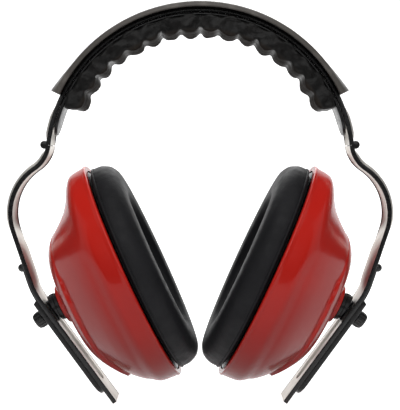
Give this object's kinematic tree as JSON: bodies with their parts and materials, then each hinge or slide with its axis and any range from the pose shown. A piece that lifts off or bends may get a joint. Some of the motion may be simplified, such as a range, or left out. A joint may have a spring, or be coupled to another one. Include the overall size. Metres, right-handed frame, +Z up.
{
  "type": "earmuff hearing protector",
  "caption": "Over-the-head earmuff hearing protector: sprung steel headband with a padded cover, hinged arms with clamps that slide, and swivelling padded ear cups.",
  "frame": {"origin": "middle of the head pad's underside, where the crown of the head touches it", "axes": "+Z up, X across the head with the left cup at -X, Y from front to back"},
  "size_m": [0.1814, 0.084, 0.1912],
  "materials": {
    "spring_steel": "bright ground strip steel with blackened edges",
    "hardware_steel": "bright zinc-plated steel",
    "black_plastic": "moulded, semi-gloss",
    "black_fitting": "black enamel",
    "cover_plastic": "satin moulded with a fine grain",
    "pad_leatherette": "soft grained leatherette",
    "cup_red": "high gloss moulded",
    "cushion_leatherette": "smooth leatherette with a soft sheen",
    "foam": "open-cell foam"
  },
  "bodies": {
    "headband": {"band_spring": "spring_steel", "pad_backing": "black_plastic", "head_pad": "pad_leatherette", "band_cover": "cover_plastic"},
    "left_arm": {"left_arm": "spring_steel", "left_hinge_pin": "black_fitting", "left_slide_rail": "black_plastic", "left_rail_rivet": "black_fitting"},
    "left_clamp": {"left_slide_shoe": "black_plastic", "left_eye_bolt": "hardware_steel"},
    "left_knob": {"left_clamp_knob": "black_plastic", "left_knob_insert": "hardware_steel"},
    "left_swivel": {"left_pivot_barrel": "black_plastic", "left_cross_pin": "hardware_steel", "left_swivel_cap": "black_plastic", "left_swivel_screw": "hardware_steel"},
    "left_cup": {"left_cup_shell": "cup_red", "left_seal_plate": "black_plastic", "left_ear_cushion": "cushion_leatherette", "left_sound_foam": "foam", "left_foam_liner": "foam"},
    "right_arm": {"right_arm": "spring_steel", "right_hinge_pin": "black_fitting", "right_slide_rail": "black_plastic", "right_rail_rivet": "black_fitting"},
    "right_clamp": {"right_slide_shoe": "black_plastic", "right_eye_bolt": "hardware_steel"},
    "right_knob": {"right_clamp_knob": "black_plastic", "right_knob_insert": "hardware_steel"},
    "right_swivel": {"right_pivot_barrel": "black_plastic", "right_cross_pin": "hardware_steel", "right_swivel_cap": "black_plastic", "right_swivel_screw": "hardware_steel"},
    "right_cup": {"right_cup_shell": "cup_red", "right_seal_plate": "black_plastic", "right_ear_cushion": "cushion_leatherette", "right_sound_foam": "foam", "right_foam_liner": "foam"}
  },
  "joints": [
    {"name": "left_arm_spread", "type": "hinge", "parent": "headband", "child": "left_arm", "pos_m": [-0.07338, 0, -0.05228], "axis": [0, 1, 0], "range_deg": [0, 13.2]},
    {"name": "left_height_slide", "type": "slide", "parent": "left_arm", "child": "left_clamp", "axis": [0.5869, 0, -0.8096], "range_m": [0, 0.038]},
    {"name": "left_knob_turn", "type": "hinge", "parent": "left_clamp", "child": "left_knob", "pos_m": [-0.07152, 0, -0.13243], "axis": [-0.8096, 0, -0.5869], "continuous": true},
    {"name": "left_cup_tilt", "type": "hinge", "parent": "left_clamp", "child": "left_swivel", "pos_m": [-0.06763, 0, -0.12961], "axis": [0, 1, 0], "range_deg": [0, 6]},
    {"name": "left_cup_spin", "type": "hinge", "parent": "left_swivel", "child": "left_cup", "pos_m": [-0.06763, 0, -0.12961], "axis": [-0.9092, 0, -0.4163], "range_deg": [-90, 90]},
    {"name": "right_arm_spread", "type": "hinge", "parent": "headband", "child": "right_arm", "pos_m": [0.07338, 0, -0.05228], "axis": [0, -1, 0], "range_deg": [0, 13.2]},
    {"name": "right_height_slide", "type": "slide", "parent": "right_arm", "child": "right_clamp", "axis": [-0.5869, 0, -0.8096], "range_m": [0, 0.038]},
    {"name": "right_knob_turn", "type": "hinge", "parent": "right_clamp", "child": "right_knob", "pos_m": [0.07152, 0, -0.13243], "axis": [0.8096, 0, -0.5869], "continuous": true},
    {"name": "right_cup_tilt", "type": "hinge", "parent": "right_clamp", "child": "right_swivel", "pos_m": [0.06763, 0, -0.12961], "axis": [0, -1, 0], "range_deg": [0, 6]},
    {"name": "right_cup_spin", "type": "hinge", "parent": "right_swivel", "child": "right_cup", "pos_m": [0.06763, 0, -0.12961], "axis": [0.9092, 0, -0.4163], "range_deg": [-90, 90]}
  ],
  "couplings": [
    {"joint": "left_arm_spread", "follows": "left_height_slide", "rad_per_m": 6},
    {"joint": "right_arm_spread", "follows": "right_height_slide", "rad_per_m": 6}
  ]
}
